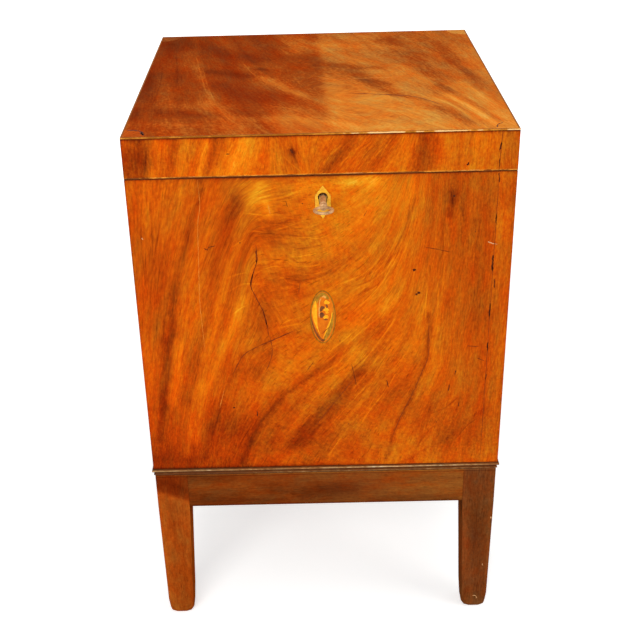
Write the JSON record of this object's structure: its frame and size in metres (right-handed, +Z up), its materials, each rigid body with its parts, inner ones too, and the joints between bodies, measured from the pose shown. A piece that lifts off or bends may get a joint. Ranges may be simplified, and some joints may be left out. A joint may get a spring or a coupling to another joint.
{
  "type": "cellarette",
  "caption": "Square mahogany cellarette with a hinged inlaid lid, a lock with its key, side handles and a bottle rack, on a stand with tapered legs.",
  "frame": {"origin": "on the floor, at the middle of the bounding box seen from above, with the key's bow included in the depth", "axes": "+Z up, -Y towards the front with the keyhole, +X to the viewer's right"},
  "size_m": [0.4804, 0.4894, 0.6923],
  "materials": {
    "stand_leg": "old polish, worn at the edges",
    "stand_rail": "old polish",
    "moulding": "old polish",
    "case_board": "unpolished",
    "rack_board": "unpolished",
    "front_veneer": "polished",
    "side_veneer": "polished",
    "escutcheon": "polished boxwood",
    "patera_band": "stained and polished",
    "patera_ground": "polished marquetry",
    "lid_board": "unpolished",
    "lid_front_veneer": "polished",
    "lid_side_veneer": "polished",
    "top_veneer": "polished",
    "edge_stringing": "worn boxwood",
    "rim_stringing": "worn boxwood",
    "fan_front_left": "polished",
    "fan_front_right": "polished",
    "fan_back_right": "polished",
    "fan_back_left": "polished",
    "lock_brass": "old brass",
    "key_steel": "worn steel",
    "hinge_brass": "old brass",
    "handle_brass": "old brass"
  },
  "bodies": {
    "cellarette": {"leg_front_left": "stand_leg", "leg_front_right": "stand_leg", "leg_back_right": "stand_leg", "leg_back_left": "stand_leg", "rail_front": "stand_rail", "rail_right": "stand_rail", "rail_back": "stand_rail", "rail_left": "stand_rail", "moulding_front": "moulding", "moulding_right": "moulding", "moulding_back": "moulding", "moulding_left": "moulding", "case_front_board": "case_board", "case_back_board": "case_board", "case_left_board": "case_board", "case_right_board": "case_board", "case_bottom_board": "case_board", "rack_long_divider_1": "rack_board", "rack_long_divider_2": "rack_board", "rack_cross_divider_1": "rack_board", "rack_cross_divider_2": "rack_board", "case_front_veneer": "front_veneer", "case_left_veneer": "side_veneer", "case_right_veneer": "side_veneer", "escutcheon": "escutcheon", "patera_band": "patera_band", "patera_ground": "patera_ground", "lock_case": "lock_brass", "lock_cap": "lock_brass", "hinge_left_case_leaf": "hinge_brass", "hinge_left_pin": "hinge_brass", "handle_left_front_post": "handle_brass", "handle_left_back_post": "handle_brass", "hinge_right_case_leaf": "hinge_brass", "hinge_right_pin": "hinge_brass", "handle_right_front_post": "handle_brass", "handle_right_back_post": "handle_brass"},
    "lid": {"lid_front_rail": "lid_board", "lid_back_rail": "lid_board", "lid_left_rail": "lid_board", "lid_right_rail": "lid_board", "lid_top_board": "lid_board", "lid_front_veneer": "lid_front_veneer", "lid_left_veneer": "lid_side_veneer", "lid_right_veneer": "lid_side_veneer", "lid_top_veneer": "top_veneer", "lid_edge_stringing": "edge_stringing", "lid_rim_stringing": "rim_stringing", "corner_fan_front_left": "fan_front_left", "corner_fan_front_right": "fan_front_right", "corner_fan_back_right": "fan_back_right", "corner_fan_back_left": "fan_back_left", "link_plate": "lock_brass", "hinge_left_lid_leaf": "hinge_brass", "hinge_right_lid_leaf": "hinge_brass"},
    "key": {"key": "key_steel"},
    "lock_bolt": {"lock_bolt": "lock_brass"},
    "bail_left": {"handle_left_bail": "handle_brass"},
    "bail_right": {"handle_right_bail": "handle_brass"}
  },
  "joints": [
    {"name": "lid_hinge", "type": "hinge", "parent": "cellarette", "child": "lid", "pos_m": [0, 0.23765, 0.64315], "axis": [-1, 0, 0], "range_deg": [0, 95]},
    {"name": "key_turn", "type": "hinge", "parent": "cellarette", "child": "key", "pos_m": [0.002, -0.19735, 0.61635], "axis": [0, -1, 0], "range_deg": [-90, 270]},
    {"name": "bolt_throw", "type": "slide", "parent": "cellarette", "child": "lock_bolt", "axis": [-1, 0, 0], "range_m": [-0.002, 0.006]},
    {"name": "left_bail_swing", "type": "hinge", "parent": "cellarette", "child": "bail_left", "pos_m": [-0.234, 0.02265, 0.50797], "axis": [0, 1, 0], "range_deg": [0, 165]},
    {"name": "right_bail_swing", "type": "hinge", "parent": "cellarette", "child": "bail_right", "pos_m": [0.234, 0.02265, 0.50797], "axis": [0, -1, 0], "range_deg": [0, 165]}
  ],
  "couplings": [
    {"joint": "bolt_throw", "follows": "key_turn", "m_per_rad": 0.001273}
  ]
}
